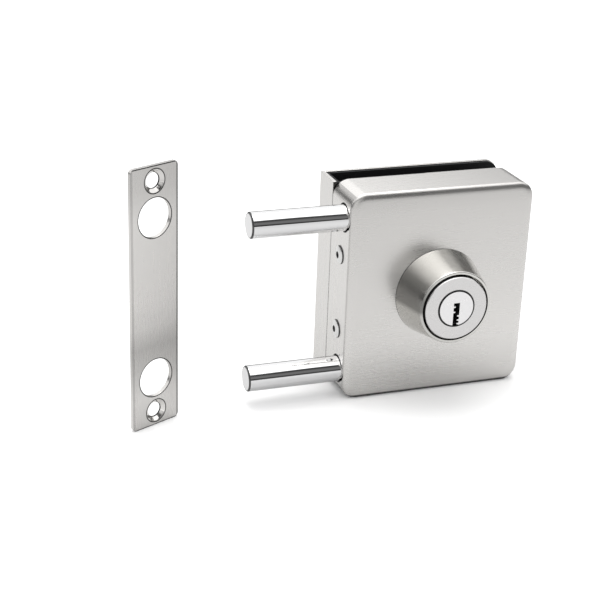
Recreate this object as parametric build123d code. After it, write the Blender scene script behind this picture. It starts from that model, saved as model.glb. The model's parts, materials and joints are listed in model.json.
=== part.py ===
from build123d import *
from math import acos, cos, pi, radians, sin, tan
import os

# Sliding door lock for a glass door, with its separate strike plate.
# Millimetres. +X points away from the strike, +Y to the back of the door, +Z up.
# The origin is on the bottom of the cover, under the key cylinder, in the plane of the two bolts.

# Clearances
fit_gap = 0.1        # between fixed pieces that nest
seam_gap = 0.4       # seam between the cover and the rear plate's web
slide_gap = 0.2      # beside a flat face that slides
running_gap = 0.05   # radial, around a round piece that slides or turns
thread_gap = 0.03    # radial, around a screw or a pressed pin
cut_past = 1.0       # how far a cutting solid runs past the faces it opens

# Cover
case_width = 89.0
case_height = 99.0
cover_depth = 23.5
cover_wall = 1.2
corner_radius = 7.5
front_edge_radius = 3.2

# Door glass and what clamps it
glass_thickness = 12.0
gasket_thickness = 1.6
gasket_inset = 0.4
rear_sheet = 1.8
rear_inset = 1.0
edge_pad_thickness = 1.5
clamp_spacing_x = 30.0
clamp_spacing_z = 40.0
clamp_first_x = 15.0
sleeve_diameter = 10.0
sleeve_end_gap = 0.8
clamp_screw_diameter = 5.0
clamp_head_diameter = 9.9
clamp_screw_length = 14.0

# Chassis plate and the bracket that carries the cylinder
chassis_thickness = 2.5
bracket_sheet = 2.0
leg_height = 11.0
side_screw_spacing = 36.2
side_screw_setback = 11.4
side_screw_diameter = 4.0
side_screw_length = 7.0
side_head_diameter = 8.6
side_head_height = 1.3
side_head_rim = 0.4
side_socket_width = 2.6
side_socket_depth = 0.9

# Bolts
bolt_diameter = 12.0
bolt_edge_distance = 12.75
bolt_projection = 44.1
bolt_end_before_axis = 0.5
bolt_setback = 8.3
bolt_tip_chamfer = 0.5

# Bolt guides and rails
guide_length = 12.0
guide_half_height = 7.2
guide_front_wall = 0.8
block_edge_radius = 1.0
small_screw_diameter = 3.0
small_head_diameter = 5.6
guide_screw_length = 8.0
guide_screw_spacing = 8.0
rail_bite = 1.6
rail_wall = 1.3

# Carriage that ties the two bolts together
carriage_thickness = 2.5
carriage_back_gap = 1.2
carriage_edge_margin = 9.05
carrier_length = 15.0
carrier_half_height = 7.0
carrier_end_offset = 2.0
carrier_screw_spacing = 9.6
carrier_screw_length = 6.0
carrier_pin_diameter = 3.0
carrier_front_wall = 0.6
window_width = 7.0
window_height = 13.0
window_from_bolt = 16.75

# Rack and pinion, one full turn of the key for the whole throw
gear_module = 1.0
pinion_thickness = 4.2
pressure_angle = 20.0
addendum = 0.75 * gear_module
dedendum = 1.1 * gear_module
backlash = 0.24
rack_back_height = 3.6
rack_end_margin = 0.5
rack_side_room = 0.3
rack_screw_spacing = 8.0
rack_screw_diameter = 2.0
rack_screw_head = 3.8
rack_screw_length = 5.5
flank_points = 5

# Key cylinder
rose_height = 19.0
rose_taper = 3.95
rose_rim_width = 1.2
rose_rim_radius = 0.6
rose_shoulder = 3.0
rose_gap = 0.85
barrel_diameter = 30.0
barrel_proud = 0.9
barrel_edge = 0.5
barrel_shoulder = 1.5
plug_head_diameter = 16.6
plug_head_length = 1.8
plug_head_gap = 0.2
plug_body_diameter = 15.0
plug_proud = 0.35
plug_edge = 0.25
clip_thickness = 0.8
clip_groove_depth = 0.6
clip_outer_diameter = 19.0
clip_opening_width = 7.5
tail_diameter = 6.0
tail_flat = 1.0
pinion_screw_head = 6.8
pinion_screw_head_height = 1.4
pinion_screw_length = 7.0
pinion_screw_slot = 0.8
nut_wall = 5.0
nut_thickness = 3.5
nut_slot_width = 4.0
nut_slot_depth = 2.0
nut_slots = 4

# Keyway and pin stacks
keyway_width = 2.9
keyway_above_axis = 2.7
keyway_back_web = 2.0
ward_height = 0.9
ward_depth = 0.95
left_ward_drops = (1.9, 4.35)
right_ward_drops = (6.25, 8.25, 10.0)
key_cuts = (0, 3, 2, 1, 0)
key_cut_step = 0.4
key_cut_least = 0.3
pin_pitch = 4.0
pin_diameter = 2.7
first_pin_from_front = 5.0
key_pin_top_gap = 0.2
driver_length = 2.3
chamber_wall = 1.0
spring_wire = 0.3
spring_turns = 4

# Strike plate, standing by itself beside the lock
strike_width = 25.0
strike_past_bolts = 22.75
strike_thickness = 2.0
strike_corner_radius = 2.0
strike_edge = 0.2
strike_hole_diameter = 17.4
strike_screw_inset = 6.8
strike_screw_hole = 6.6
countersink_diameter = 10.3
countersink_depth = 1.5
strike_yaw = 25.5
strike_distance = 43.4
strike_set_forward = 8.4

# Places that follow from the sizes above
half_width = case_width / 2
middle_z = case_height / 2
front_y = -bolt_setback
cover_inside_y = front_y + cover_wall
cover_back_y = front_y + cover_depth
chassis_front_y = cover_back_y - chassis_thickness
carriage_back_y = chassis_front_y - carriage_back_gap
carriage_front_y = carriage_back_y - carriage_thickness
glass_front_y = cover_back_y + gasket_thickness
glass_back_y = glass_front_y + glass_thickness
back_plate_y = glass_back_y + gasket_thickness
back_y = back_plate_y + rear_sheet
web_inside_x = -half_width + rear_sheet
upper_bolt_z = case_height - bolt_edge_distance
lower_bolt_z = bolt_edge_distance
bolt_spacing = upper_bolt_z - lower_bolt_z
bolt_radius = bolt_diameter / 2
bolt_inner_x = -bolt_end_before_axis
carrier_right_x = bolt_inner_x - carrier_end_offset
carrier_left_x = carrier_right_x - carrier_length
carrier_middle_x = (carrier_left_x + carrier_right_x) / 2
carriage_top_z = upper_bolt_z + carriage_edge_margin
carriage_bottom_z = lower_bolt_z - carriage_edge_margin
tooth_pitch = pi * gear_module
rack_room = half_width - cover_wall - rack_side_room - rack_end_margin
pinion_teeth = int(rack_room / tooth_pitch - 0.5)
pitch_radius = gear_module * pinion_teeth / 2
bolt_travel = 2 * pi * pitch_radius
pinion_back_y = carriage_front_y - slide_gap
pinion_front_y = pinion_back_y - pinion_thickness
clip_back_y = pinion_front_y - 2 * slide_gap
clip_front_y = clip_back_y - clip_thickness
housing_back_y = clip_front_y - slide_gap
thread_diameter = barrel_diameter - 2 * barrel_shoulder
nut_diameter = thread_diameter + 2 * nut_wall
rose_bore_diameter = barrel_diameter + 2 * rose_gap
rose_front_diameter = rose_bore_diameter + 2 * rose_rim_width
rose_base_diameter = rose_front_diameter + 2 * rose_taper
rose_front_y = front_y - rose_height
barrel_front_y = rose_front_y - barrel_proud
plug_front_y = barrel_front_y - plug_proud
bracket_inside_y = cover_inside_y + bracket_sheet
key_axis = Axis((0, 0, middle_z), (0, 1, 0))
side_screw_y = front_y + side_screw_setback
pin_top = plug_body_diameter / 2 - key_pin_top_gap
chamber_top = thread_diameter / 2 - chamber_wall
strike_height = bolt_spacing + 2 * strike_past_bolts
strike_screw_spacing = strike_height - 2 * strike_screw_inset


def slab(low, high):
    # a box between two opposite corners
    size = [b - a for a, b in zip(low, high)]
    middle = [(a + b) / 2 for a, b in zip(low, high)]
    return Pos(*middle) * Box(*size)


def rod(radius, start, end):
    # a cylinder between two points
    along = Vector(*end) - Vector(*start)
    return extrude(Plane(origin=start, z_dir=along) * Circle(radius), amount=along.length)


def panel(outline, front, back):
    # an outline drawn in X and Z, solid from front to back along Y
    return extrude(Plane.XZ.offset(-back) * outline, amount=back - front)


def turned(points):
    # a piece turned about the key axis, from points of radius and Y
    outline = make_face(Polyline([(radius, y) for radius, y in points], close=True))
    return revolve(Pos(0, 0, middle_z) * outline, axis=key_axis)


def countersunk_screw(diameter, head_diameter, length, place, toward):
    # a flat screw with its head's face at place, pointing toward a direction
    cone = (head_diameter - diameter) / 2
    outline = make_face(Polyline([
        (0, 0), (head_diameter / 2, 0), (diameter / 2, cone),
        (diameter / 2, length), (0, length)], close=True))
    turned_screw = revolve(Plane.XZ * outline, axis=Axis.Z)
    return Plane(origin=place, z_dir=toward) * turned_screw


def screw_hole(diameter, head_diameter, length, place, toward):
    # the hole of a countersunk screw, larger all round by the thread gap
    grown = 2 * thread_gap
    return countersunk_screw(diameter + grown, head_diameter + grown, length + thread_gap, place, toward)


def clamp_places():
    first = -half_width + clamp_first_x
    return [(first + column * clamp_spacing_x, middle_z + side * clamp_spacing_z / 2)
            for column in (0, 1) for side in (-1, 1)]


def guide_screw_places():
    x = -half_width + corner_radius + guide_length / 2
    return [(x, z + side * guide_screw_spacing / 2)
            for z in (lower_bolt_z, upper_bolt_z) for side in (-1, 1)]


def carrier_screw_places():
    return [(carrier_middle_x, z + side * carrier_screw_spacing / 2)
            for z in (lower_bolt_z, upper_bolt_z) for side in (-1, 1)]


def rack_screw_places():
    z = middle_z - pitch_radius - dedendum - rack_back_height / 2
    return [(carrier_middle_x + side * rack_screw_spacing / 2, z) for side in (-1, 1)]


def leg_heights():
    return [(middle_z + side * side_screw_spacing / 2 - leg_height / 2,
             middle_z + side * side_screw_spacing / 2 + leg_height / 2) for side in (-1, 1)]


def pin_places():
    return [plug_front_y + first_pin_from_front + number * pin_pitch for number in range(len(key_cuts))]


def front_cover():
    outline = RectangleRounded(case_width, case_height, corner_radius)
    outside = panel(Pos(0, middle_z) * outline, front_y, cover_back_y)
    outside = fillet(outside.faces().sort_by(Axis.Y)[0].edges(), front_edge_radius)
    inline = RectangleRounded(case_width - 2 * cover_wall, case_height - 2 * cover_wall,
                              corner_radius - cover_wall)
    inside = panel(Pos(0, middle_z) * inline, cover_inside_y, cover_back_y)
    inside = fillet(inside.faces().sort_by(Axis.Y)[0].edges(), front_edge_radius - cover_wall)
    cover = outside - inside
    cover -= rod(thread_diameter / 2 + slide_gap, (0, front_y - cut_past, middle_z),
                 (0, cover_inside_y + cut_past, middle_z))
    left = -half_width - cut_past
    right = -half_width + cover_wall + cut_past
    for z in (lower_bolt_z, upper_bolt_z):
        cover -= rod(bolt_radius + 2 * slide_gap, (left, 0, z), (right, 0, z))
    for side in (-1, 1):
        z = middle_z + side * side_screw_spacing / 2
        cover -= rod(side_screw_diameter / 2 + fit_gap, (left, side_screw_y, z), (right, side_screw_y, z))
    return cover


def chassis_plate():
    inset = cover_wall + fit_gap
    outline = RectangleRounded(case_width - 2 * inset, case_height - 2 * inset, corner_radius - inset)
    plate = panel(Pos(0, middle_z) * outline, chassis_front_y, cover_back_y)
    leg_x = half_width - cover_wall - bracket_sheet / 2
    for side in (-1, 1):
        for low, high in leg_heights():
            plate -= slab((side * leg_x - bracket_sheet / 2 - fit_gap, chassis_front_y, low - fit_gap),
                          (side * leg_x + bracket_sheet / 2 + fit_gap, cover_back_y, high + fit_gap))
    for x, z in clamp_places():
        plate -= screw_hole(clamp_screw_diameter, clamp_head_diameter, clamp_screw_length,
                            (x, chassis_front_y, z), (0, 1, 0))
    for x, z in guide_screw_places():
        plate -= screw_hole(small_screw_diameter, small_head_diameter, guide_screw_length,
                            (x, cover_back_y, z), (0, -1, 0))
    return plate


def cylinder_bracket():
    # a bent strip behind the cover's face, with two legs at each side that end in the chassis plate
    inset = half_width - cover_wall
    low = leg_heights()[0][0]
    high = leg_heights()[1][1]
    outside = slab((-inset, cover_inside_y, low), (inset, cover_back_y, high))
    outside = fillet(outside.faces().sort_by(Axis.Y)[0].edges().filter_by(Axis.Z), front_edge_radius)
    inner = inset - bracket_sheet
    bracket = outside - slab((-inner, bracket_inside_y, low - cut_past),
                             (inner, cover_back_y + cut_past, high + cut_past))
    bracket -= slab((-inset - cut_past, bracket_inside_y + bracket_sheet, leg_heights()[0][1]),
                    (inset + cut_past, cover_back_y + cut_past, leg_heights()[1][0]))
    bracket -= rod(thread_diameter / 2 + fit_gap, (0, front_y, middle_z),
                   (0, bracket_inside_y + cut_past, middle_z))
    for side in (-1, 1):
        z = middle_z + side * side_screw_spacing / 2
        bracket -= rod(side_screw_diameter / 2 + thread_gap, (-half_width, side_screw_y, z),
                       (-half_width + cover_wall + bracket_sheet + cut_past, side_screw_y, z))
    return bracket


def side_screws():
    # domed heads on the cover's side, with six-sided sockets
    dome_height = side_head_height - side_head_rim
    dome_radius = ((side_head_diameter / 2) ** 2 + dome_height ** 2) / (2 * dome_height)
    face_x = -half_width
    top_x = face_x - side_head_height
    screws = []
    for side in (-1, 1):
        z = middle_z + side * side_screw_spacing / 2
        head = rod(side_head_diameter / 2, (face_x, side_screw_y, z), (top_x, side_screw_y, z))
        head &= Pos(top_x + dome_radius, side_screw_y, z) * Sphere(dome_radius)
        shank = rod(side_screw_diameter / 2, (face_x, side_screw_y, z),
                    (face_x + side_screw_length, side_screw_y, z))
        hexagon = RegularPolygon(side_socket_width / 2, 6, major_radius=False)
        socket = extrude(Plane(origin=(top_x, side_screw_y, z), z_dir=(1, 0, 0)) * hexagon,
                         amount=side_socket_depth)
        screws.append(head + shank - socket)
    return screws


def rear_outline(inset):
    # the rear plate and gaskets: square beside the web, rounded at the free corners
    height = case_height - 2 * rear_inset - 2 * inset
    left = web_inside_x
    right = half_width - inset
    outline = Pos((left + right) / 2, middle_z) * Rectangle(right - left, height)
    corners = outline.vertices().group_by(Axis.X)[-1]
    return fillet(corners, corner_radius - rear_inset - inset)


def back_plate():
    # a plate behind the glass and the web past the glass's edge, bent from one sheet
    plate = panel(rear_outline(0), back_plate_y, back_y)
    web = slab((-half_width, cover_back_y + seam_gap, rear_inset),
               (web_inside_x, back_y, case_height - rear_inset))
    return plate + web


def clamp_sleeves():
    front = cover_back_y + sleeve_end_gap
    hole = clamp_screw_diameter / 2 + thread_gap
    return [rod(sleeve_diameter / 2, (x, front, z), (x, back_plate_y, z))
            - rod(hole, (x, front, z), (x, back_plate_y, z)) for x, z in clamp_places()]


def clamp_screws():
    return [countersunk_screw(clamp_screw_diameter, clamp_head_diameter, clamp_screw_length,
                              (x, chassis_front_y, z), (0, 1, 0)) for x, z in clamp_places()]


def gasket(front, back):
    pad = panel(rear_outline(gasket_inset), front, back)
    for x, z in clamp_places():
        pad -= rod(sleeve_diameter / 2 + slide_gap, (x, front - cut_past, z), (x, back + cut_past, z))
    return pad


def edge_pad():
    inset = rear_inset + gasket_inset
    return slab((web_inside_x, glass_front_y, inset),
                (web_inside_x + edge_pad_thickness, glass_back_y, case_height - inset))


def guide_block(bolt_z):
    left = -half_width + corner_radius
    front = -bolt_radius - running_gap - guide_front_wall
    block = slab((left, front, bolt_z - guide_half_height),
                 (left + guide_length, chassis_front_y, bolt_z + guide_half_height))
    block = fillet(block.edges().filter_by(Axis.Y), block_edge_radius)
    block -= rod(bolt_radius + running_gap, (left - cut_past, 0, bolt_z),
                 (left + guide_length + cut_past, 0, bolt_z))
    for x, z in guide_screw_places():
        if abs(z - bolt_z) < guide_screw_spacing:
            block -= rod(small_screw_diameter / 2 + thread_gap, (x, cover_back_y, z),
                         (x, cover_back_y - guide_screw_length - thread_gap, z))
    return block


def guide_block_screws():
    return [countersunk_screw(small_screw_diameter, small_head_diameter, guide_screw_length,
                              (x, cover_back_y, z), (0, -1, 0)) for x, z in guide_screw_places()]


def rail(edge_z, outward):
    # a channel on the chassis plate that the carriage's edge slides in
    left = -half_width + corner_radius + fit_gap
    right = half_width - corner_radius - fit_gap
    front = carriage_front_y - slide_gap - rail_wall
    floor_z = edge_z + outward * slide_gap
    outer_z = floor_z + outward * rail_wall
    mouth_z = edge_z - outward * rail_bite
    z_low, z_high = sorted((outer_z, mouth_z))
    channel = slab((left, front, z_low), (right, chassis_front_y, z_high))
    groove_low, groove_high = sorted((mouth_z - outward * cut_past, floor_z))
    channel -= slab((left - cut_past, carriage_front_y - slide_gap, groove_low),
                    (right + cut_past, carriage_back_y + slide_gap, groove_high))
    return channel


def bolt(bolt_z):
    tip_x = -half_width - bolt_projection
    shaft = rod(bolt_radius, (tip_x, 0, bolt_z), (bolt_inner_x, 0, bolt_z))
    shaft = chamfer(shaft.edges().group_by(Axis.X)[0] + shaft.edges().group_by(Axis.X)[-1], bolt_tip_chamfer)
    front = -bolt_radius - running_gap - carrier_front_wall
    return shaft - rod(carrier_pin_diameter / 2 + thread_gap, (carrier_middle_x, front, bolt_z),
                       (carrier_middle_x, bolt_radius + cut_past, bolt_z))


def carrier(bolt_z):
    front = -bolt_radius - running_gap - carrier_front_wall
    block = slab((carrier_left_x, front, bolt_z - carrier_half_height),
                 (carrier_right_x, carriage_front_y, bolt_z + carrier_half_height))
    block = fillet(block.edges().filter_by(Axis.Y), block_edge_radius)
    block -= rod(bolt_radius + thread_gap, (carrier_left_x - cut_past, 0, bolt_z),
                 (carrier_right_x + cut_past, 0, bolt_z))
    block -= rod(carrier_pin_diameter / 2 + thread_gap, (carrier_middle_x, front - cut_past, bolt_z),
                 (carrier_middle_x, carriage_front_y, bolt_z))
    for x, z in carrier_screw_places():
        if abs(z - bolt_z) < carrier_screw_spacing:
            block -= rod(small_screw_diameter / 2 + thread_gap, (x, carriage_back_y, z),
                         (x, carriage_back_y - carrier_screw_length - thread_gap, z))
    return block


def carrier_pins():
    front = -bolt_radius - running_gap
    return [rod(carrier_pin_diameter / 2, (carrier_middle_x, front, z),
                (carrier_middle_x, carriage_front_y, z)) for z in (lower_bolt_z, upper_bolt_z)]


def carrier_screws():
    return [countersunk_screw(small_screw_diameter, small_head_diameter, carrier_screw_length,
                              (x, carriage_back_y, z), (0, -1, 0)) for x, z in carrier_screw_places()]


def bolt_carriage():
    plate = slab((carrier_left_x, carriage_front_y, carriage_bottom_z),
                 (carrier_right_x, carriage_back_y, carriage_top_z))
    plate = fillet(plate.edges().filter_by(Axis.Y), block_edge_radius)
    for side in (-1, 1):
        z = middle_z + side * (bolt_spacing / 2 - window_from_bolt)
        window = Pos(carrier_middle_x, z) * SlotOverall(window_height, window_width, rotation=90)
        plate -= panel(window, carriage_front_y - cut_past, carriage_back_y + cut_past)
    for x, z in carrier_screw_places():
        plate -= screw_hole(small_screw_diameter, small_head_diameter, carrier_screw_length,
                            (x, carriage_back_y, z), (0, -1, 0))
    for x, z in rack_screw_places():
        plate -= screw_hole(rack_screw_diameter, rack_screw_head, rack_screw_length,
                            (x, carriage_back_y, z), (0, -1, 0))
    return plate


def rack_outline():
    # straight-sided teeth above the back of the rack, one more tooth than the pinion has
    line_z = middle_z - pitch_radius
    slope = tan(radians(pressure_angle))
    half_at_line = (tooth_pitch - backlash) / 4
    root_half = half_at_line + slope * dedendum
    tip_half = half_at_line - slope * addendum
    right = tooth_pitch / 2 + rack_end_margin
    left = -pinion_teeth * tooth_pitch - right
    points = [(right, line_z - dedendum)]
    for tooth in range(pinion_teeth + 1):
        x = -tooth * tooth_pitch
        points += [(x + root_half, line_z - dedendum), (x + tip_half, line_z + addendum),
                   (x - tip_half, line_z + addendum), (x - root_half, line_z - dedendum)]
    points.append((left, line_z - dedendum))
    points.append((left, line_z - dedendum - rack_back_height))
    points.append((right, line_z - dedendum - rack_back_height))
    return make_face(Polyline(points, close=True))


def rack():
    bar = panel(rack_outline(), pinion_front_y, carriage_front_y)
    for x, z in rack_screw_places():
        bar -= rod(rack_screw_diameter / 2 + thread_gap, (x, carriage_back_y, z),
                   (x, carriage_back_y - rack_screw_length - thread_gap, z))
    return bar


def rack_screws():
    return [countersunk_screw(rack_screw_diameter, rack_screw_head, rack_screw_length,
                              (x, carriage_back_y, z), (0, -1, 0)) for x, z in rack_screw_places()]


def pinion_outline():
    # involute teeth with radial feet, and a gap between teeth straight below the axis
    base_radius = pitch_radius * cos(radians(pressure_angle))
    tip_radius = pitch_radius + addendum
    root_radius = pitch_radius - dedendum
    half_tooth = (tooth_pitch - backlash) / (4 * pitch_radius)

    def involute(angle):
        return tan(angle) - angle

    def half_angle(radius):
        return half_tooth + involute(radians(pressure_angle)) - involute(acos(base_radius / radius))

    def place(radius, angle):
        return (radius * cos(angle), radius * sin(angle) + middle_z)

    step = (tip_radius - base_radius) / (flank_points - 1)
    flank = [base_radius + number * step for number in range(flank_points)]
    lines = []
    for tooth in range(pinion_teeth):
        middle = -pi / 2 + (tooth + 0.5) * 2 * pi / pinion_teeth
        following = middle + 2 * pi / pinion_teeth
        foot = half_angle(base_radius)
        rising = [place(radius, middle - half_angle(radius)) for radius in flank]
        falling = [place(radius, middle + half_angle(radius)) for radius in reversed(flank)]
        lines += [Line(place(root_radius, middle - foot), rising[0]), Spline(*rising),
                  ThreePointArc(rising[-1], place(tip_radius, middle), falling[0]), Spline(*falling),
                  Line(falling[-1], place(root_radius, middle + foot)),
                  ThreePointArc(place(root_radius, middle + foot),
                                place(root_radius, middle + pi / pinion_teeth),
                                place(root_radius, following - foot))]
    return make_face(lines)


def tail_outline(radius, flat):
    outline = Pos(0, middle_z) * Circle(radius)
    return outline - Pos(0, middle_z + radius) * Rectangle(4 * radius, 2 * flat)


def pinion():
    wheel = panel(pinion_outline(), pinion_front_y, pinion_back_y)
    seat_y = pinion_back_y - pinion_screw_head_height - slide_gap
    bore = tail_outline(tail_diameter / 2 + thread_gap, tail_flat)
    wheel -= panel(bore, pinion_front_y - cut_past, seat_y)
    return wheel - rod(pinion_screw_head / 2 + fit_gap, (0, seat_y, middle_z),
                       (0, pinion_back_y + cut_past, middle_z))


def pinion_screw():
    seat_y = pinion_back_y - pinion_screw_head_height - slide_gap
    top_y = seat_y + pinion_screw_head_height
    head = rod(pinion_screw_head / 2, (0, seat_y, middle_z), (0, top_y, middle_z))
    shank = rod(small_screw_diameter / 2, (0, seat_y - pinion_screw_length, middle_z), (0, seat_y, middle_z))
    half_slot = pinion_screw_slot / 2
    slot = slab((-pinion_screw_head, seat_y + pinion_screw_head_height / 2, middle_z - half_slot),
                (pinion_screw_head, seat_y + pinion_screw_head_height + cut_past, middle_z + half_slot))
    return head + shank - slot


def cylinder_rose():
    shell = turned([
        (rose_bore_diameter / 2, rose_front_y), (rose_front_diameter / 2, rose_front_y),
        (rose_base_diameter / 2, front_y), (thread_diameter / 2 + fit_gap, front_y),
        (thread_diameter / 2 + fit_gap, front_y - rose_shoulder),
        (rose_bore_diameter / 2, front_y - rose_shoulder)])
    rim = shell.edges().filter_by(GeomType.CIRCLE).group_by(Axis.Y)[0].sort_by(SortBy.RADIUS)[-1]
    return fillet(rim, rose_rim_radius)


def cylinder_housing():
    plug_hole = plug_body_diameter / 2 + running_gap
    head_hole = plug_head_diameter / 2 + plug_head_gap
    head_floor_y = plug_front_y + plug_head_length + slide_gap
    body = turned([
        (head_hole, barrel_front_y), (barrel_diameter / 2 - barrel_edge, barrel_front_y),
        (barrel_diameter / 2, barrel_front_y + barrel_edge), (barrel_diameter / 2, front_y - rose_shoulder),
        (thread_diameter / 2, front_y - rose_shoulder), (thread_diameter / 2, housing_back_y),
        (plug_hole, housing_back_y), (plug_hole, head_floor_y), (head_hole, head_floor_y)])
    for y in pin_places():
        body -= rod(pin_diameter / 2 + running_gap, (0, y, middle_z + plug_body_diameter / 2 - cut_past),
                    (0, y, middle_z + chamber_top))
    return body


def keyway():
    # the key's slot, open at the plug's lower edge, with wards on both sides
    top_z = middle_z + keyway_above_axis
    bottom_z = middle_z - plug_head_diameter / 2 - cut_past
    half = keyway_width / 2
    front = plug_front_y - cut_past
    back = housing_back_y - keyway_back_web
    slot = slab((-half, front, bottom_z), (half, back, top_z))
    wards = [(-1, drop) for drop in left_ward_drops] + [(1, drop) for drop in right_ward_drops]
    for side, drop in wards:
        ward_z = top_z - drop
        root_x = side * (half + cut_past)
        tip_x = side * (half - ward_depth)
        ward = make_face(Polyline([
            (root_x, ward_z + ward_height / 2), (side * half, ward_z + ward_height / 2),
            (tip_x, ward_z + ward_height / 4), (tip_x, ward_z - ward_height / 4),
            (side * half, ward_z - ward_height / 2), (root_x, ward_z - ward_height / 2)], close=True))
        slot -= panel(ward, front - cut_past, back + cut_past)
    return slot


def cylinder_plug():
    body = plug_body_diameter / 2
    head = plug_head_diameter / 2
    groove = body - clip_groove_depth
    tail_y = pinion_back_y - pinion_screw_head_height - slide_gap
    plug = turned([
        (0, plug_front_y), (head - plug_edge, plug_front_y), (head, plug_front_y + plug_edge),
        (head, plug_front_y + plug_head_length), (body, plug_front_y + plug_head_length),
        (body, clip_front_y - thread_gap), (groove, clip_front_y - thread_gap),
        (groove, clip_back_y + thread_gap), (body, clip_back_y + thread_gap),
        (body, pinion_front_y), (0, pinion_front_y)])
    plug += panel(tail_outline(tail_diameter / 2, tail_flat), pinion_front_y, tail_y)
    plug -= keyway()
    for y in pin_places():
        plug -= rod(pin_diameter / 2 + running_gap, (0, y, middle_z + keyway_above_axis - cut_past),
                    (0, y, middle_z + body + cut_past))
    return plug - rod(small_screw_diameter / 2 + thread_gap, (0, tail_y - pinion_screw_length, middle_z),
                      (0, tail_y + cut_past, middle_z))


def plug_clip():
    inner = plug_body_diameter / 2 - clip_groove_depth + thread_gap
    ring = turned([(inner, clip_front_y), (clip_outer_diameter / 2, clip_front_y),
                   (clip_outer_diameter / 2, clip_back_y), (inner, clip_back_y)])
    half_opening = clip_opening_width / 2
    return ring - slab((-half_opening, clip_front_y - cut_past, middle_z - clip_outer_diameter),
                       (half_opening, clip_back_y + cut_past, middle_z))


def cylinder_nut():
    bore = thread_diameter / 2 + thread_gap
    back = bracket_inside_y + nut_thickness
    nut = turned([(bore, bracket_inside_y), (nut_diameter / 2, bracket_inside_y),
                  (nut_diameter / 2, back), (bore, back)])
    for number in range(nut_slots):
        slot = slab((nut_diameter / 2 - nut_slot_depth, bracket_inside_y, -nut_slot_width / 2),
                    (nut_diameter, back, nut_slot_width / 2))
        nut -= Pos(0, 0, middle_z) * Rot(0, number * 360 / nut_slots, 0) * slot
    return nut


def key_pins():
    # lengths step like a key's cuts, tops level at the shear line
    tip = pin_diameter / 4
    pins = []
    for cut, y in zip(key_cuts, pin_places()):
        foot = keyway_above_axis + key_cut_least + cut * key_cut_step
        pin = rod(pin_diameter / 2, (0, y, middle_z + foot), (0, y, middle_z + pin_top))
        pins.append(chamfer(pin.edges().group_by(Axis.Z)[0], tip))
    return pins


def driver_pins():
    low = plug_body_diameter / 2 + fit_gap
    return [rod(pin_diameter / 2, (0, y, middle_z + low), (0, y, middle_z + low + driver_length))
            for y in pin_places()]


def pin_springs():
    low = plug_body_diameter / 2 + fit_gap + driver_length + spring_wire / 2
    high = chamber_top - spring_wire / 2
    coil_radius = pin_diameter / 2 - spring_wire
    pitch = (high - low) / spring_turns
    springs = []
    for y in pin_places():
        path = Helix(pitch, high - low, coil_radius)
        start = Plane(origin=path @ 0, z_dir=path % 0)
        springs.append(Pos(0, y, middle_z + low) * sweep(start * Circle(spring_wire / 2), path=path))
    return springs


def strike_plate():
    # drawn upright and facing front, then turned and set beside the lock
    outline = RectangleRounded(strike_width, strike_height, strike_corner_radius)
    plate = panel(Pos(0, strike_height / 2) * outline, 0, strike_thickness)
    plate = chamfer(plate.faces().sort_by(Axis.Y)[0].edges(), strike_edge)
    middle = strike_height / 2
    for side in (-1, 1):
        z = middle + side * bolt_spacing / 2
        plate -= rod(strike_hole_diameter / 2, (0, -cut_past, z), (0, strike_thickness + cut_past, z))
        z = middle + side * strike_screw_spacing / 2
        plate -= rod(strike_screw_hole / 2, (0, -cut_past, z), (0, strike_thickness + cut_past, z))
        plate -= Plane(origin=(0, countersink_depth, z), z_dir=(0, -1, 0)) * Cone(
            strike_screw_hole / 2, countersink_diameter / 2, countersink_depth,
            align=(Align.CENTER, Align.CENTER, Align.MIN))
    x = -half_width - bolt_projection - strike_distance
    return Pos(x, -strike_set_forward, 0) * Rot(0, 0, strike_yaw) * plate


def save(node, pieces):
    shape = Compound(children=pieces) if isinstance(pieces, list) else pieces
    export_step(shape, f"parts/{node}.step")


os.makedirs("parts", exist_ok=True)
save("front_cover", front_cover())
save("chassis_plate", chassis_plate())
save("cylinder_bracket", cylinder_bracket())
save("side_screws", side_screws())
save("back_plate", back_plate())
save("clamp_sleeves", clamp_sleeves())
save("clamp_screws", clamp_screws())
save("front_gasket", gasket(cover_back_y, glass_front_y))
save("back_gasket", gasket(glass_back_y, back_plate_y))
save("edge_pad", edge_pad())
save("guide_block_screws", guide_block_screws())
save("upper_rail", rail(carriage_top_z, 1))
save("lower_rail", rail(carriage_bottom_z, -1))
for name, bolt_z in (("upper", upper_bolt_z), ("lower", lower_bolt_z)):
    save(f"{name}_guide_block", guide_block(bolt_z))
    save(f"{name}_bolt", bolt(bolt_z))
    save(f"{name}_carrier", carrier(bolt_z))
save("carrier_pins", carrier_pins())
save("carrier_screws", carrier_screws())
save("bolt_carriage", bolt_carriage())
save("rack", rack())
save("rack_screws", rack_screws())
save("pinion", pinion())
save("pinion_screw", pinion_screw())
save("cylinder_rose", cylinder_rose())
save("cylinder_housing", cylinder_housing())
save("cylinder_plug", cylinder_plug())
save("plug_clip", plug_clip())
save("cylinder_nut", cylinder_nut())
save("key_pins", key_pins())
save("driver_pins", driver_pins())
save("pin_springs", pin_springs())
save("strike_plate", strike_plate())
print(f"bolt travel {bolt_travel:.4f} mm, pitch radius {pitch_radius:.3f} mm")
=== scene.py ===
import bmesh
import bpy
import json
from math import cos, pi, radians, sin, sqrt
from mathutils import Matrix, Vector


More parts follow.
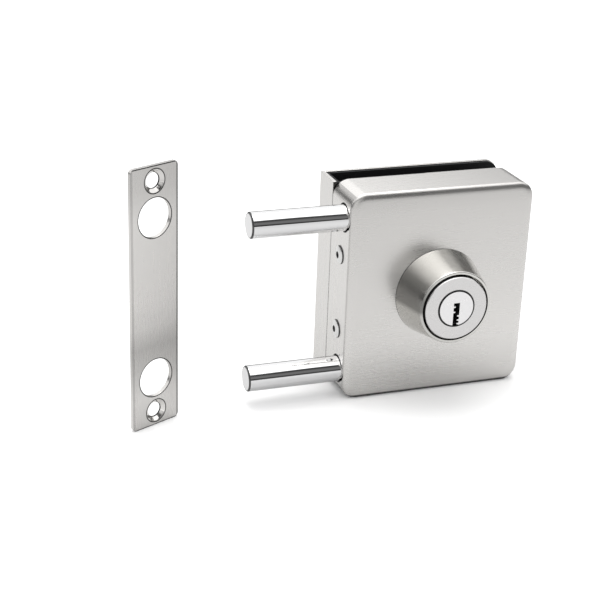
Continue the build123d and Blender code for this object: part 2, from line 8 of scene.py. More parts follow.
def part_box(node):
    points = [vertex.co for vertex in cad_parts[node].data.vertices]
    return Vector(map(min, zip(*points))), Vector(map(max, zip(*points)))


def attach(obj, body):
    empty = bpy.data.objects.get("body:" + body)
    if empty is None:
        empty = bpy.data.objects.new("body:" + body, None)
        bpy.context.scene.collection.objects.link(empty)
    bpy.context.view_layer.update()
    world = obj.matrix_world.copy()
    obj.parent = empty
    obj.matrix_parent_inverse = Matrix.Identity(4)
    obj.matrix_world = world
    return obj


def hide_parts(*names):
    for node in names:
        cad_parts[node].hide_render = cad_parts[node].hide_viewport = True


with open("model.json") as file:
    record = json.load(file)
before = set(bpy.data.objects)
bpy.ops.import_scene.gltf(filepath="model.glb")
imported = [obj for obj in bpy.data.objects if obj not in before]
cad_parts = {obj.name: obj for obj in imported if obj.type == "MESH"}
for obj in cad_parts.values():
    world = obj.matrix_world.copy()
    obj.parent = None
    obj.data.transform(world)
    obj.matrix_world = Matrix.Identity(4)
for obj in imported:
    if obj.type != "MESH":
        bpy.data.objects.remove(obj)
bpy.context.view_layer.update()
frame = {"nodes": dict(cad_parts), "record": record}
nodes = frame["nodes"]
mm = 0.001
slotOf = {entry["node"]: entry["material_slot"] for entry in frame["record"]["subparts"]}
print("frame loaded,", len(nodes), "nodes")


# shader helpers

class Wire:
    # one output socket that can be used in a sum

    def __init__(self, tree, socket):
        self.tree = tree
        self.socket = socket

    def math(self, operation, first, second=None):
        step = self.tree.nodes.new("ShaderNodeMath")
        step.operation = operation
        for place, value in enumerate((first, second)):
            if isinstance(value, Wire):
                self.tree.links.new(value.socket, step.inputs[place])
            elif value is not None:
                step.inputs[place].default_value = value
        return Wire(self.tree, step.outputs[0])

    def __add__(self, other):
        return self.math("ADD", self, other)

    def __radd__(self, other):
        return self.math("ADD", other, self)

    def __sub__(self, other):
        return self.math("SUBTRACT", self, other)

    def __rsub__(self, other):
        return self.math("SUBTRACT", other, self)

    def __mul__(self, other):
        return self.math("MULTIPLY", self, other)

    def __rmul__(self, other):
        return self.math("MULTIPLY", other, self)

    def __truediv__(self, other):
        return self.math("DIVIDE", self, other)

    def __gt__(self, other):
        return self.math("GREATER_THAN", self, other)

    def __lt__(self, other):
        return self.math("LESS_THAN", self, other)

    def root(self):
        return self.math("SQRT", self)

    def absolute(self):
        return self.math("ABSOLUTE", self)

    def angleTo(self, other):
        return self.math("ARCTAN2", self, other)

    def atLeast(self, other):
        return self.math("MAXIMUM", self, other)

    def atMost(self, other):
        return self.math("MINIMUM", self, other)

    def clamped(self):
        return self.atLeast(0.0).atMost(1.0)

    def between(self, low, high):
        # 1 between two limits, in mm
        return (self > low * mm) * (self < high * mm)

    def dimmed(self, mask, level):
        # multiplied by the level where the mask is 1
        return self * (1 - mask * (1 - level))

    def swing(self, amount):
        # a noise as a change of this size to both sides of nothing
        return (self - 0.5) * amount


def distance(first, second):
    return (first * first + second * second).root()


class Board:
    # a node tree being wired up

    def __init__(self, tree):
        self.tree = tree
        tree.nodes.clear()

    def node(self, kind, settings=None, sockets=None, out=0):
        made = self.tree.nodes.new(kind)
        for name, value in (settings or {}).items():
            if name == "stops":
                fillRamp(made.color_ramp, value)
            else:
                setattr(made, name, value)
        for name, value in (sockets or {}).items():
            if isinstance(value, Wire):
                self.tree.links.new(value.socket, made.inputs[name])
            else:
                made.inputs[name].default_value = value
        return Wire(self.tree, made.outputs[out]) if out is not None else None

    def ramp(self, value, stops):
        return self.node("ShaderNodeValToRGB", {"stops": stops}, {"Fac": value})

    def spot(self, scale=(1, 1, 1), shift=(0, 0, 0)):
        # Object coordinates, scaled and then shifted
        where = self.node("ShaderNodeTexCoord", out="Object")
        return self.node("ShaderNodeMapping", {}, {"Vector": where, "Scale": scale, "Location": shift})

    def parts(self, vector):
        split = self.node("ShaderNodeSeparateXYZ", {}, {"Vector": vector})
        return [Wire(self.tree, socket) for socket in split.socket.node.outputs]

    def placeFrom(self, x, y, z):
        # X, Y and Z from a point given in mm
        return self.parts(self.spot(shift=(-x * mm, -y * mm, -z * mm)))

    def facing(self):
        return self.parts(self.node("ShaderNodeTexCoord", out="Normal"))

    def joined(self, x, y, z):
        return self.node("ShaderNodeCombineXYZ", {}, {"X": x, "Y": y, "Z": z})

    def noise(self, where, scale=1.0, detail=3.0, rough=0.5):
        return self.node("ShaderNodeTexNoise", {}, {
            "Vector": where, "Scale": scale, "Detail": detail, "Roughness": rough})

    def cloud(self, scale):
        return self.noise(self.spot(), scale)

    def pits(self, scale):
        return self.noise(self.spot(), scale, 3.0, 0.6)

    def shade(self, tone, colour):
        # a colour times a tone between 0 and 2
        bright = tuple(2 * part for part in colour) + (1,)
        return self.node("ShaderNodeMix", {"data_type": "RGBA"}, {
            0: tone * 0.5, 6: (0, 0, 0, 1), 7: bright}, out=2)

    def bump(self, height, depth):
        return self.node("ShaderNodeBump", {}, {"Height": height, "Strength": 1.0, "Distance": depth * mm})

    def finish(self, sockets):
        body = self.node("ShaderNodeBsdfPrincipled", {}, sockets)
        self.node("ShaderNodeOutputMaterial", {}, {"Surface": body}, out=None)


def fillRamp(ramp, stops):
    while len(ramp.elements) < len(stops):
        ramp.elements.new(0.5)
    for element, (place, shade) in zip(ramp.elements, stops):
        element.position = place
        element.color = (shade, shade, shade, 1)


def newFinish(name):
    material = bpy.data.materials.new(name)
    material.use_nodes = True
    return material, Board(material.node_tree)


# where things lie on the lock, mm

keyHeight = 49.5                        # the key's axis, half way up the case
coverFront, coverBack = (corner[1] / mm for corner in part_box("front_cover"))
boltLow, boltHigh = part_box("upper_bolt")
bolt = {
    "tip": boltLow[0] / mm,
    "radius": (boltHigh[2] - boltLow[2]) / 2 / mm,
    "axisY": (boltLow[1] + boltHigh[1]) / 2 / mm,
    "halfSpacing": (boltLow[2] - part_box("lower_bolt")[0][2]) / 2 / mm,
}


def fromPair(board, facts):
    # X, and the distance from the nearer of two axes that run along X above and below the key
    x, y, z = board.placeFrom(0, facts["axisY"], keyHeight)
    return x, distance(z.absolute() - facts["halfSpacing"] * mm, y)


def fromKey(board):
    # X, Y and Z from the key's axis, and the distance from it
    x, y, z = board.placeFrom(0, 0, keyHeight)
    return x, y, z, distance(x, z)


# brushed stainless sheet

satin = {
    "colour": (0.775, 0.76, 0.74),
    "roughness": 0.28,
    "grain": (14.0, 0.26, 0.0004),      # length, width and depth, mm
    "streak": (34.0, 0.7, 0.0005),
    "cloudScale": 26.0,
    "toneSwing": 0.032,
    "streakShare": 0.9,                 # of that swing
    "cloudShare": 2.0,
    "roughSwing": 0.08,
}
caseSatin = {
    **satin,
    "grainAlong": "x",
    "sideways": 0.8,                    # a normal's share along X or Z from which a face is a side or top
    "toRight": 0.02,                    # painted light: how much lighter the right edge is than the middle
    "topToRight": -0.22,                # the same painted light and shade on the faces that look up
    # painted shade on the faces that look up, painted light on the left and right sides
    "onTop": -0.05,
    "onSides": 0.045,
    "halfWidth": 47.0,                  # mm
    "height": 99.0,
    # painted light and shade up the front face: lightest a quarter of the way up, darker towards the top
    "heights": [(0.0, 1.0), (0.08, 1.03), (0.25, 1.08), (0.45, 1.03), (0.6, 1.0), (0.8, 0.965),
                (0.9, 0.93), (0.96, 0.86), (1.0, 0.84)],
    # painted contact shadow along the bottom edge, by height
    "foot": [(0.0, 0.02), (0.33, 0.02), (0.42, 0.35), (0.55, 0.95), (1.0, 1.0)],
    "footHeight": 3.6,                  # mm, painted contact shadow where the edge meets the ground
    "boltHoleRim": 6.75,                # painted shade out to here round the bolts, on the left side only
    "boltHoleFrom": -43.0,
    "rim": (0.6, 0.96),                 # share along X where the front edge turns to the sides, given painted shade there
    "rimTone": 0.84,
    "seamWidth": 0.8,                   # mm, painted shade in the joint of cover and web on the left side
    "seamTone": 0.12,
}
strikeSatin = {
    **satin,
    "grainAlong": "z",
    "centre": (-132.0, -8.4, 59.5),     # mm, on the front face
    "yaw": 25.5,
    "halfWidth": 12.5,
    "halfHeight": 59.5,
    "boltHole": (36.75, 8.7),           # height from the middle, and radius
    "countersink": (52.7, 5.15),
    "screwHole": (3.25, 3.55),          # painted shade between these radii, at the edge of the screw holes
    "lineWidth": 0.5,                   # thin line of painted shade round the front face and its holes
    "lineInset": 0.03,
    "lineDepth": 0.45,
    "lineTone": 0.02,
    "sideLineWidth": 0.9,
    "sideSlack": 0.05,
    "leftLine": 0.3,                    # share of the painted shade line on the left edge
    "sunkDepth": (0.05, 1.85),          # the countersinks lie between these depths
    # painted light in the countersinks
    "sunkTone": 1.26,
    "sunkPolish": 0.17,                 # how much smoother they are
    "toLeft": 0.05,                     # painted light: how much lighter the left edge is than the middle
    # painted reflection bands up the plate, dark above the lower bolt hole and near the top
    "bands": [(0.0, 1.0), (0.12, 1.0), (0.24, 0.76), (0.32, 0.66), (0.40, 0.88), (0.50, 0.97),
              (0.80, 0.99), (0.92, 0.82), (1.0, 0.80)],
}


def brushed(board, finish, direction):
    # fine grain and longer streaks
    marks = []
    for (length, width, _), detail in ((finish["grain"], 3.0), (finish["streak"], 2.0)):
        along, across = 1 / (length * mm), 1 / (width * mm)
        scale = {"x": (along, across, across), "z": (across, across, along)}[direction]
        marks.append(board.noise(board.spot(scale), 1.0, detail, 0.6))
    return marks


def dressedCase(board, finish, tone):
    # tone over the case with its painted light and shade, how metallic it is, and how much smoother
    x, y, z = board.placeFrom(0, 0, 0)
    normalX, normalY, normalZ = board.facing()
    lookingUp = normalZ > finish["sideways"]
    lookingAside = normalX.absolute() > finish["sideways"]
    lookingAhead = (1 - lookingUp) * (1 - lookingAside)
    # painted light and shade across the case, from left to right
    toRight = finish["toRight"] + lookingUp * (finish["topToRight"] - finish["toRight"])
    tone = tone + x / (finish["halfWidth"] * mm) * toRight
    # painted shade on top and painted light on the sides
    tone = tone + lookingUp * finish["onTop"] + lookingAside * finish["onSides"]
    # painted shade where the front edge turns to the sides
    rimFrom, rimTo = finish["rim"]
    turning = (normalX.absolute() > rimFrom) * (normalX.absolute() < rimTo) * (normalY < 0)
    # painted shade in the gap of the joint of cover and web
    seam = ((y - coverBack * mm).absolute() < finish["seamWidth"] / 2 * mm) * (x < 0)
    tone = tone.dimmed(turning, finish["rimTone"]).dimmed(seam, finish["seamTone"])
    halved = [(place, level / 2) for place, level in finish["heights"]]     # a ramp ends at 1
    # painted light and shade by height, on the front face only
    paintedByHeight = board.ramp(z / (finish["height"] * mm), halved) * 2
    tone = tone * (1 + lookingAhead * (paintedByHeight - 1))
    # painted shade in the holes the bolts pass through
    side, radius = fromPair(board, bolt)
    boltHole = (radius < finish["boltHoleRim"] * mm) * (side < finish["boltHoleFrom"] * mm)
    # painted contact shadow at the ground and painted shade round the bolts, not metallic there
    lit = board.ramp(z / (finish["footHeight"] * mm), finish["foot"]) * (1 - boltHole)
    return tone * lit, lit, 0


def dressedStrike(board, finish, tone):
    # the same over the strike plate, whose own axes are turned from the case's, with painted shade lines,
    # painted light and painted reflection bands
    x, y, z = board.placeFrom(*finish["centre"])
    yaw = radians(finish["yaw"])
    across = x * cos(yaw) + y * sin(yaw)
    depth = y * cos(yaw) - x * sin(yaw)
    halfWidth, halfHeight = finish["halfWidth"], finish["halfHeight"]
    line, inset = finish["lineWidth"], finish["lineInset"]
    fromBoltHole, fromScrew = (distance(across, z.absolute() - finish[hole][0] * mm)
                               for hole in ("boltHole", "countersink"))
    boltHole, countersink = finish["boltHole"][1], finish["countersink"][1]
    sideFrom, sideTo = halfWidth - finish["sideLineWidth"], halfWidth + finish["sideSlack"]
    # painted shade lines along the edges and round the holes
    outline = across.absolute().between(sideFrom, sideTo)
    outline = outline * (finish["leftLine"] + (across > 0) * (1 - finish["leftLine"]))
    outline = outline + z.absolute().between(halfHeight - line, halfHeight - inset)
    outline = outline + fromBoltHole.between(boltHole + inset, boltHole + line)
    outline = outline + fromScrew.between(countersink + inset, countersink + line)
    sunk = (fromScrew < countersink * mm) * depth.between(*finish["sunkDepth"])
    outline = outline.clamped() * (depth < finish["lineDepth"] * mm) * (1 - sunk)
    dark = (outline + fromScrew.between(*finish["screwHole"]) * sunk).clamped()
    # painted light towards the left edge
    tone = tone - across / (halfWidth * mm) * finish["toLeft"]
    # painted reflection bands by height
    upright = board.placeFrom(0, 0, 0)[2]
    tone = tone * board.ramp(upright / (halfHeight * 2 * mm), finish["bands"])
    # painted shade on the lines, then painted light in the countersinks
    tone = tone.dimmed(dark, finish["lineTone"]).dimmed(sunk, finish["sunkTone"])
    return tone, 1 - dark, sunk * finish["sunkPolish"]


def satinSheet(name, finish, dressed):
    # brushed sheet, with what the case or the strike plate adds to it, painted light and shade included
    material, board = newFinish(name)
    grain, streak = brushed(board, finish, finish["grainAlong"])
    if finish["grainAlong"] == "x":
        # round the corner, on the left and right sides, it runs along Z
        sideways = board.facing()[0].absolute() > finish["sideways"]
        sideGrain, sideStreak = brushed(board, finish, "z")
        grain = grain * (1 - sideways) + sideGrain * sideways
        streak = streak * (1 - sideways) + sideStreak * sideways
    cloud = board.cloud(finish["cloudScale"])
    swing = finish["toneSwing"]
    tone = 1.0 + grain.swing(swing) + streak.swing(swing * finish["streakShare"])
    tone = tone + cloud.swing(swing * finish["cloudShare"])
    tone, metallic, smoother = dressed(board, finish, tone)
    rough = finish["roughness"] + (streak + cloud - 1.0) * finish["roughSwing"] - smoother
    height = grain * finish["grain"][2] + streak * finish["streak"][2]
    board.finish({"Metallic": metallic, "Base Color": board.shade(tone, finish["colour"]),
                  "Roughness": rough, "Normal": board.bump(height, 1.0)})
    return material


# the rose, barrel and plug

turned = {
    "colour": (0.79, 0.78, 0.75),
    "roughness": 0.165,
    # painted reflection: tone round the cone, from the right over the bottom, left and top
    "reflectionSectors": [(0.0, 1.0), (0.12, 1.0), (0.3, 0.9), (0.44, 0.8), (0.475, 0.74), (0.495, 0.32),
                (0.545, 0.3), (0.60, 0.6), (0.645, 0.9), (0.70, 1.0), (1.0, 1.0)],
    "seatWidth": 0.3,                   # mm, painted shade line where the cone meets the cover
    "seatShade": 0.02,
    "ringWidth": 0.13,
    "ringDrift": 90,                    # how much slower the rings change along their own way
    "ringDepth": 0.005,
    "cloudScale": 70.0,
    "toneSwing": 0.08,
    "roughSwing": 0.08,
}
barrelNickel = {
    "node": "cylinder_housing",
    "colour": (0.79, 0.78, 0.775),
    "roughness": 0.27,
    "rims": [(8.4, 8.9), (14.8, 15.1)],     # painted shade between these radii, mm
    "boreRadius": 8.7,
    "shadedBeyond": 0.15,                 # mm behind the front face, painted shade beyond it
    "darkTone": 0.02,
    "insideRough": 0.2,                 # rougher inside by this
    "pitScale": 1500.0,
    "pitDepth": 0.0022,
    "pitTone": 0.06,
    "cloudScale": 110.0,
    "cloudTone": 0.05,
    "roughSwing": 0.08,
}
plugNickel = {
    **barrelNickel,
    "node": "cylinder_plug",
    "colour": (0.97, 0.96, 0.965),
    "roughness": 0.28,
    # painted shade between these radii, mm
    "rims": [(8.05, 8.5)],
}


def turnedSatin(name, finish=turned):
    # fine rings round the key's axis, which runs along Y, with painted reflection round the cone and
    # painted shade at its foot
    material, board = newFinish(name)
    x, y, z, radius = fromKey(board)
    fine = 1 / (finish["ringWidth"] * mm)
    where = board.joined(radius * fine, y * fine, (x + z) * (fine / finish["ringDrift"]))
    rings = board.noise(where, 1.0, 3.0, 0.6)
    cloud = board.cloud(finish["cloudScale"])
    tone = 1.0 + rings.swing(finish["toneSwing"]) + cloud.swing(finish["toneSwing"])
    # painted reflection round the cone, dark on its left
    turn = z.angleTo(0 - x) / (2 * pi) + 0.5
    # painted shade where the cone meets the cover, not metallic there
    seat = y > (coverFront - finish["seatWidth"]) * mm
    tone = (tone * board.ramp(turn, finish["reflectionSectors"])).dimmed(seat, finish["seatShade"])
    board.finish({"Metallic": 1 - seat, "Base Color": board.shade(tone, finish["colour"]),
                  "Roughness": finish["roughness"] + cloud.swing(finish["roughSwing"]),
                  "Normal": board.bump(rings, finish["ringDepth"])})
    return material


def pearlNickel(name, finish):
    # blasted and plated face, with painted shade inside the bore and the key's slot and at the rims
    material, board = newFinish(name)
    x, y, z, radius = fromKey(board)
    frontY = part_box(finish["node"])[0][1] / mm
    # painted shade inside the bore and at the rims, not metallic there
    inside = (radius < finish["boreRadius"] * mm) * (y > (frontY + finish["shadedBeyond"]) * mm)
    rims = sum(radius.between(low, high) for low, high in finish["rims"])
    pits = board.pits(finish["pitScale"])
    cloud = board.cloud(finish["cloudScale"])
    rough = finish["roughness"] + cloud.swing(finish["roughSwing"]) + inside * finish["insideRough"]
    tone = 1.0 + pits.swing(finish["pitTone"]) + cloud.swing(finish["cloudTone"])
    tone = tone.dimmed(inside, finish["darkTone"]).dimmed(rims, finish["darkTone"])
    board.finish({"Metallic": 1 - (inside + rims).clamped(),
                  "Base Color": board.shade(tone, finish["colour"]),
                  "Roughness": rough, "Normal": board.bump(pits, finish["pitDepth"])})
    return material


# the bolts and the screws in the case's side

chrome = {
    "colour": (0.86, 0.86, 0.865),
    "roughness": 0.03,
    "smearScale": 65.0,
    "smearTone": 0.04,
    "smearFrom": 0.45,                  # smears above this level are rougher
    "smearRough": 0.12,
    "hair": (70.0, 5200.0, 5200.0),     # marks in a metre, along and across the rod
    "hairDepth": 0.0005,                # mm
    "endWidth": 0.75,                   # painted shade ring where the end is turned over
    "endShade": 0.06,
}
sideScrew = {
    "colour": (0.80, 0.80, 0.79),
    "roughness": 0.13,
    "axisY": 3.1,                       # mm
    "halfSpacing": 18.1,
    "seatX": -44.92,                    # painted shade under the head's rim, between here and the case
    "socketRadius": 1.62,
    "socketTop": -45.72,
    "darkTone": 0.03,
    "darkRough": 0.3,                   # rougher there by this
    "cloudScale": 240.0,
    "cloudTone": 0.08,
    "roughSwing": 0.1,
    "pitScale": 1800.0,
    "pitDepth": 0.0012,
}


def boltChrome(name, finish=chrome):
    # mirror plate with faint smears and hairline marks along the rod, and a painted shade ring at the end
    material, board = newFinish(name)
    x, radius = fromPair(board, bolt)
    endWidth = finish["endWidth"]
    # painted shade round the end, not metallic there
    end = (x < (bolt["tip"] + endWidth) * mm) * (radius > (bolt["radius"] - endWidth) * mm)
    smear = board.cloud(finish["smearScale"])
    hair = board.noise(board.spot(finish["hair"]), 1.0, 2.0)
    rough = finish["roughness"] + (smear - finish["smearFrom"]).atLeast(0.0) * finish["smearRough"]
    tone = (1.0 + smear.swing(finish["smearTone"])).dimmed(end, finish["endShade"])
    board.finish({"Metallic": 1 - end, "Base Color": board.shade(tone, finish["colour"]),
                  "Roughness": rough, "Normal": board.bump(hair, finish["hairDepth"])})
    return material


def sideScrewSteel(name, finish=sideScrew):
    # polished dome, with painted shade in the socket and in the seat under the rim
    material, board = newFinish(name)
    x, radius = fromPair(board, finish)
    socket = (radius < finish["socketRadius"] * mm) * (x > finish["socketTop"] * mm)
    # painted shade in the socket and under the rim, not metallic there
    dark = (socket + (x > finish["seatX"] * mm)).clamped()
    cloud = board.cloud(finish["cloudScale"])
    pits = board.noise(board.spot(), finish["pitScale"], 2.0)
    rough = finish["roughness"] + cloud.swing(finish["roughSwing"]) + dark * finish["darkRough"]
    tone = (1.0 + cloud.swing(finish["cloudTone"])).dimmed(dark, finish["darkTone"])
    board.finish({"Metallic": 1 - dark, "Base Color": board.shade(tone, finish["colour"]),
                  "Roughness": rough, "Normal": board.bump(pits, finish["pitDepth"])})
    return material


# the works and the rubber

turnedBrass = {
    "colour": (0.72, 0.55, 0.27),
    "roughness": 0.24,
    "pitScale": 900.0,
    "pitDepth": 0.003,                  # mm
    "pitTone": 0.06,
    "cloudScale": 90.0,
    "cloudTone": 0.09,
    "roughSwing": 0.14,
}
springSteel = {**turnedBrass, "colour": (0.48, 0.48, 0.49), "roughness": 0.22}
castZinc = {
    **turnedBrass,
    "colour": (0.5, 0.5, 0.51),
    "roughness": 0.45,
    "pitScale": 500.0,
    "pitDepth": 0.012,
}
zincSheet = {
    "colour": (0.6, 0.61, 0.62),
    "roughness": 0.34,
    "warm": (1.06, 1.0, 0.86),          # tints of the clouds
    "cold": (0.94, 0.98, 1.06),
    "coldFrom": 0.35,
    "coldSlope": 3.2,
    "cloudScale": 140.0,
    "pitScale": 1200.0,
    "pitDepth": 0.003,
    "roughSwing": 0.2,
}
zincScrew = {**zincSheet, "colour": (0.56, 0.57, 0.58), "roughness": 0.24}
blackAcetal = {
    "colour": (0.028, 0.028, 0.03),
    "roughness": 0.4,
    "shine": 0.25,
    "grainScale": 700.0,
    "grainDepth": 0.004,
    "cloudScale": 120.0,
    "toneSwing": 0.4,
    "roughSwing": 0.15,
}
blackRubber = {
    **blackAcetal,
    "colour": (0.006, 0.006, 0.0065),
    "roughness": 0.6,
    "grainScale": 900.0,
    "grainDepth": 0.012,
}


def worksMetal(name, finish):
    # plated, cast or turned metal with a fine even surface
    material, board = newFinish(name)
    pits = board.pits(finish["pitScale"])
    cloud = board.cloud(finish["cloudScale"])
    tone = 1.0 + pits.swing(finish["pitTone"]) + cloud.swing(finish["cloudTone"])
    board.finish({"Metallic": 1.0, "Base Color": board.shade(tone, finish["colour"]),
                  "Roughness": finish["roughness"] + cloud.swing(finish["roughSwing"]),
                  "Normal": board.bump(pits, finish["pitDepth"])})
    return material


def passivatedZinc(name, finish):
    # bright zinc with the faint yellow and blue clouds of its passivation
    material, board = newFinish(name)
    pits = board.pits(finish["pitScale"])
    cloud = board.noise(board.spot(), finish["cloudScale"], 4.0)
    warm, cold = (tuple(part * tint for part, tint in zip(finish["colour"], finish[hue])) + (1,)
                  for hue in ("warm", "cold"))
    tinted = board.node("ShaderNodeMix", {"data_type": "RGBA"}, {
        0: ((cloud - finish["coldFrom"]) * finish["coldSlope"]).clamped(), 6: warm, 7: cold}, out=2)
    board.finish({"Metallic": 1.0, "Base Color": tinted,
                  "Roughness": finish["roughness"] + cloud.swing(finish["roughSwing"]),
                  "Normal": board.bump(pits, finish["pitDepth"])})
    return material


def blackMoulding(name, finish):
    # rubber or moulded plastic with a fine matt grain
    material, board = newFinish(name)
    grain = board.pits(finish["grainScale"])
    cloud = board.cloud(finish["cloudScale"])
    tone = 1.0 + cloud.swing(finish["toneSwing"])
    board.finish({"Specular IOR Level": finish["shine"],
                  "Base Color": board.shade(tone, finish["colour"]),
                  "Roughness": finish["roughness"] + grain.swing(finish["roughSwing"]),
                  "Normal": board.bump(grain, finish["grainDepth"])})
    return material


finishes = {
    "satin_case": satinSheet("satinCase", caseSatin, dressedCase),
    "satin_strike": satinSheet("satinStrike", strikeSatin, dressedStrike),
    "satin_rose": turnedSatin("satinRose"),
    "barrel_nickel": pearlNickel("barrelNickel", barrelNickel),
    "plug_nickel": pearlNickel("plugNickel", plugNickel),
    "bolt_chrome": boltChrome("boltChrome"),
    "screw_steel": sideScrewSteel("screwSteel"),
    "zinc_sheet": passivatedZinc("zincSheet", zincSheet),
    "zinc_screw": passivatedZinc("zincScrew", zincScrew),
    "turned_brass": worksMetal("turnedBrass", turnedBrass),
    "cast_zinc": worksMetal("castZinc", castZinc),
    "black_acetal": blackMoulding("blackAcetal", blackAcetal),
    "black_rubber": blackMoulding("blackRubber", blackRubber),
    "spring_steel": worksMetal("springSteel", springSteel),
}
for nodeName, node in nodes.items():
    for place in range(len(node.material_slots)):
        node.material_slots[place].material = finishes[slotOf[nodeName]]
print("finishes made:", len(finishes))


# pieces that take over a node's shape, with its edges finished

edges = {
    # piece, body, softening in mm and its steps
    "front_cover": ("frontCover", "root", 0.12, 2),
    "back_plate": ("backPlate", "root", 0.2, 2),
    "strike_plate": ("strikePlate", "root", 0.2, 3),
    "front_gasket": ("frontGasket", "root", 0.15, 2),
    "back_gasket": ("backGasket", "root", 0.15, 2),
    "edge_pad": ("edgePad", "root", 0.15, 2),
    "cylinder_rose": ("cylinderRose", "root", 0.12, 2),
    "side_screws": ("sideScrews", "root", 0.08, 2),
    "cylinder_plug": ("cylinderPlug", "key_plug", 0.07, 2),
    "upper_bolt": ("upperBolt", "bolts", 0.3, 3),
    "lower_bolt": ("lowerBolt", "bolts", 0.3, 3),
}
meshing = {
    "mergeWithin": 0.0005,              # mm
    "flatWithin": 0.2,                  # degrees between faces that become one
    "sharpFrom": 32,
    "softenFrom": 35,
}
coverRim = {
    "cornerRadius": 7.5,                # mm
    "cadRadius": 3.2,                   # of the node's front edge
    "inward": 4.2,                      # the pressed edge turns slowly from the face
    "deep": 1.9,                        # and then tightly to the sides
    "slack": 0.05,
}


def mergedCopy(nodeName):
    bm = bmesh.new()
    bm.from_mesh(nodes[nodeName].data)
    bmesh.ops.remove_doubles(bm, verts=bm.verts, dist=meshing["mergeWithin"] * mm)
    bmesh.ops.dissolve_limit(bm, angle_limit=radians(meshing["flatWithin"]), verts=bm.verts,
                             edges=bm.edges, use_dissolve_boundaries=False)
    return bm


def outwardFrom(point, low, high, corner):
    # the way out of a rounded rectangle, and how far inside its outline the point is
    half = (high - low) / 2
    offset = point - (low + high) / 2
    beyond = Vector((abs(offset.x) - half.x + corner, abs(offset.y) - half.y + corner))
    if beyond.x > 0 and beyond.y > 0:
        way = beyond.normalized()
        inside = corner - beyond.length
    elif beyond.x > beyond.y:
        way = Vector((1, 0))
        inside = corner - beyond.x
    else:
        way = Vector((0, 1))
        inside = corner - beyond.y
    return Vector((way.x if offset.x > 0 else -way.x, way.y if offset.y > 0 else -way.y)), inside


def reshapeRim(bm, low, high):
    # the round front edge of the cover becomes a slower curve
    flatLow, flatHigh = Vector((low[0], low[2])), Vector((high[0], high[2]))
    radius = coverRim["cadRadius"] * mm
    moved = 0
    for vert in bm.verts:
        down = (vert.co.y - low[1]) / radius
        if down > 1.0001:
            continue
        way, inside = outwardFrom(Vector((vert.co.x, vert.co.z)), flatLow, flatHigh,
                                  coverRim["cornerRadius"] * mm)
        turn = sqrt(max(0.0, 1 - (1 - down) ** 2))      # 0 on the face, 1 on the side
        if abs(inside - radius * (1 - turn)) > coverRim["slack"] * mm:
            continue
        shift = (coverRim["inward"] * mm - radius) * (1 - turn)
        vert.co.x -= way.x * shift
        vert.co.z -= way.y * shift
        vert.co.y = low[1] + down * coverRim["deep"] * mm
        moved += 1
    print("cover's rim reshaped,", moved, "points")


def standIn(nodeName, pieceName, body, softening, steps):
    # a copy of the node with its sharp edges softened
    bm = mergedCopy(nodeName)
    if nodeName == "front_cover":
        reshapeRim(bm, *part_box(nodeName))
    for face in bm.faces:
        face.smooth = True
    mesh = bpy.data.meshes.new(pieceName)
    bm.to_mesh(mesh)
    bm.free()
    mesh.materials.clear()
    mesh.materials.append(finishes[slotOf[nodeName]])
    mesh.set_sharp_from_angle(angle=radians(meshing["sharpFrom"]))
    piece = bpy.data.objects.new(pieceName, mesh)
    bpy.context.scene.collection.objects.link(piece)
    bevel = piece.modifiers.new("softEdge", "BEVEL")
    bevel.width = softening * mm
    bevel.segments = steps
    bevel.limit_method = "ANGLE"
    bevel.angle_limit = radians(meshing["softenFrom"])
    weights = piece.modifiers.new("faceWeight", "WEIGHTED_NORMAL")
    weights.weight = 100
    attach(piece, body)
    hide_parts(nodeName)


for nodeName, facts in edges.items():
    standIn(nodeName, *facts)
print("outer pieces made:", len(edges))


# floor, light and camera

floorLook = {
    "size": 6.0,            # m
    "seen": 0.97,           # how white the camera sees it
    "bounced": 0.59,        # how much light it gives back to the object
}


def makeFloor():
    bm = bmesh.new()
    bmesh.ops.create_grid(bm, x_segments=1, y_segments=1, size=floorLook["size"] / 2)
    mesh = bpy.data.meshes.new("floor")
    bm.to_mesh(mesh)
    bm.free()
    floor = bpy.data.objects.new("floor", mesh)
    bpy.context.scene.collection.objects.link(floor)
    material, board = newFinish("floorWhite")
    bounced, seen = (board.node("ShaderNodeBsdfDiffuse", {}, {"Color": (floorLook[look],) * 3 + (1,)})
                     for look in ("bounced", "seen"))
    cameraRay = board.node("ShaderNodeLightPath", out="Is Camera Ray")
    both = board.node("ShaderNodeMixShader", {}, {0: cameraRay, 1: bounced, 2: seen})
    board.node("ShaderNodeOutputMaterial", {}, {"Surface": both}, out=None)
    mesh.materials.append(material)


# heights and sides are parts of a direction whose length is 1, and a slope is how fast a part comes in
studio = {
    "ambient": 1.15,        # light on matt things
    "tent": 1.1,            # white above the dark band
    "bandBehind": 0.26,     # height of the band's top behind the lock
    "bandInFront": 0.625,
    "frontFrom": 0.3,       # from here to the front the band climbs
    "frontSpan": 1.2,
    "rise": 0.17,           # higher again in front to the right, where the bolts look
    "riseSide": 0.315,
    "riseSlope": 7,
    "lift": 0.7,            # more light from high up in front
    "liftFrom": 0.7,
    "liftSlope": 6,
    "card": 0.8,            # a white card stands low in front, a little to the left
    "cardSide": -0.35,
    "cardSlope": 1.7,
    "cardTop": 0.6,
    "cardTopSlope": 4,
    # tone of the room from the ground to the band's top
    "room": [(0.0, 0.82), (0.035, 0.82), (0.06, 0.03), (0.22, 0.03), (0.42, 0.16), (0.66, 0.15),
             (0.8, 0.05), (0.975, 0.06), (1.0, 1.0)],
}


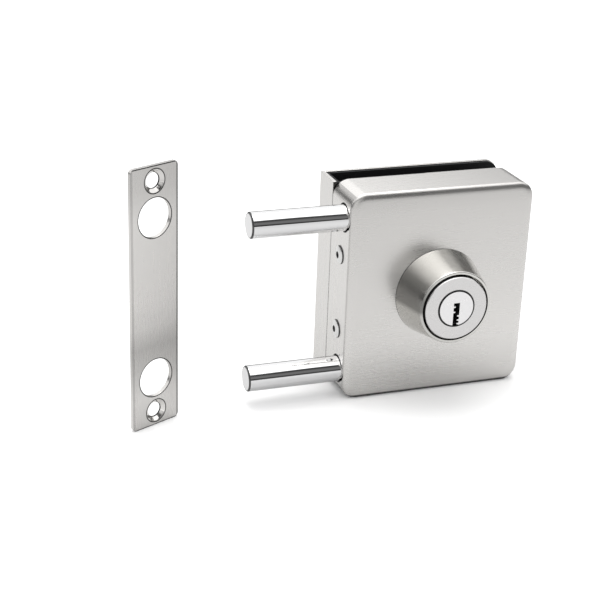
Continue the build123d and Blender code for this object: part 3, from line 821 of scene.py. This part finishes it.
def makeWorld():
    # even light on matt things, and for metal a white tent with the dark room showing below it
    world = bpy.data.worlds.new("studio")
    world.use_nodes = True
    world.cycles.sampling_method = "NONE"       # so that metal meets only its own light
    board = Board(world.node_tree)
    x, y, z = board.parts(board.node("ShaderNodeTexCoord", out="Generated"))
    level = (1 - z * z).atLeast(0.0001).root()
    front = ((studio["frontFrom"] - y / level) / studio["frontSpan"]).clamped()
    rise = (1 - ((x - studio["riseSide"]) * studio["riseSlope"]).absolute()).clamped() * studio["rise"]
    bandTop = studio["bandBehind"] + front * (rise + studio["bandInFront"] - studio["bandBehind"])
    room = board.ramp(z / bandTop, studio["room"])
    lift = 1 + front * ((z - studio["liftFrom"]) * studio["liftSlope"]).clamped() * studio["lift"]
    card = (1 - (x / level - studio["cardSide"]).absolute() * studio["cardSlope"]).clamped()
    card = card * ((studio["cardTop"] - z) * studio["cardTopSlope"]).clamped() * (y < 0) * (z > 0)
    tent = (room + card * studio["card"]).atMost(1.0) * lift * studio["tent"]
    ambient, mirrored, seen = (
        board.node("ShaderNodeBackground", {}, {"Strength": strength, "Color": (1, 1, 1, 1)})
        for strength in (studio["ambient"], tent, 1.0))
    cameraRay, glossyRay = (board.node("ShaderNodeLightPath", out=ray)
                            for ray in ("Is Camera Ray", "Is Glossy Ray"))
    light = board.node("ShaderNodeMixShader", {}, {0: glossyRay, 1: ambient, 2: mirrored})
    light = board.node("ShaderNodeMixShader", {}, {0: cameraRay, 1: light, 2: seen})
    board.node("ShaderNodeOutputWorld", {}, {"Surface": light}, out=None)
    bpy.context.scene.world = world


overhead = {
    "place": (0.02, 0.2, 0.95),     # m
    "aim": (-0.03, 0.0, 0.03),
    "size": 0.6,
    "power": 4.0,
}


def makeLamp():
    light = bpy.data.lights.new("overhead", "AREA")
    light.shape = "SQUARE"
    light.size = overhead["size"]
    light.energy = overhead["power"]
    lamp = bpy.data.objects.new("overhead", light)
    bpy.context.scene.collection.objects.link(lamp)
    lamp.location = overhead["place"]
    toward = Vector(overhead["aim"]) - Vector(overhead["place"])
    lamp.rotation_euler = toward.to_track_quat("-Z", "Y").to_euler()


camera = {
    "place": (-262.3, -553.2, 293.9),   # mm
    "yaw": 19.74,                       # degrees to the right of straight ahead
    "pitch": 22.64,                     # down
    "roll": 2.07,
    "focal": 1421.94,                   # pixels of the frame
    "frame": 600,
    "sensor": 36,
}


def makeCamera():
    yaw, pitch, roll = (radians(camera[key]) for key in ("yaw", "pitch", "roll"))
    ahead = Vector((sin(yaw) * cos(pitch), cos(yaw) * cos(pitch), -sin(pitch)))
    right = Vector((cos(yaw), -sin(yaw), 0))
    up = right.cross(ahead)
    rolledRight = right * cos(roll) + up * sin(roll)
    rolledUp = up * cos(roll) - right * sin(roll)
    lens = bpy.data.cameras.new("camera")
    lens.sensor_width = camera["sensor"]
    lens.lens = camera["focal"] / camera["frame"] * camera["sensor"]
    lens.clip_start = 0.01
    lens.clip_end = 50
    view = bpy.data.objects.new("camera", lens)
    bpy.context.scene.collection.objects.link(view)
    turn = Matrix((rolledRight, rolledUp, -ahead)).transposed().to_4x4()
    view.matrix_world = Matrix.Translation(Vector(camera["place"]) * mm) @ turn
    bpy.context.scene.camera = view


makeFloor()
makeWorld()
makeLamp()
makeCamera()
bpy.context.scene.view_settings.view_transform = "Standard"
print("floor, light and camera ready")
